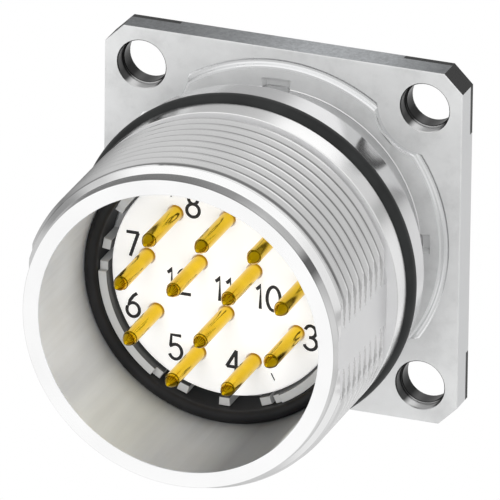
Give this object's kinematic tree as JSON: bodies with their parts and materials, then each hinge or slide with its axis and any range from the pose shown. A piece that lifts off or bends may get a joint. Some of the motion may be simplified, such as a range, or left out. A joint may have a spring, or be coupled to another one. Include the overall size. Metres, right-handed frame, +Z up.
{
  "type": "flange mount connector",
  "caption": "Circular device connector with a square screw flange, a threaded shell with side flats, an open cup and gold-plated pin contacts.",
  "frame": {"origin": "centre of the flange's rear face, on the shell's axis", "axes": "-Y points out of the cup on the mating side and +Y into the panel; seen from the mating side +X is to the right and +Z is up"},
  "size_m": [0.025, 0.0279, 0.025],
  "materials": {
    "nickel_plated_brass": "satin",
    "black_rubber": "matte",
    "grey_plastic": "satin",
    "white_plastic": "satin",
    "plated_steel": "satin",
    "gold_plated_contact": "polished"
  },
  "bodies": {
    "root": {"housing": "nickel_plated_brass", "outer_o_ring": "black_rubber", "cup_seal": "black_rubber", "coding_ring": "grey_plastic", "contact_insert": "white_plastic", "retaining_ring": "plated_steel", "contact_pin_01": "gold_plated_contact", "contact_pin_02": "gold_plated_contact", "contact_pin_03": "gold_plated_contact", "contact_pin_04": "gold_plated_contact", "contact_pin_05": "gold_plated_contact", "contact_pin_06": "gold_plated_contact", "contact_pin_07": "gold_plated_contact", "contact_pin_08": "gold_plated_contact", "contact_pin_09": "gold_plated_contact", "contact_pin_10": "gold_plated_contact", "contact_pin_11": "gold_plated_contact", "contact_pin_12": "gold_plated_contact"}
  },
  "joints": []
}
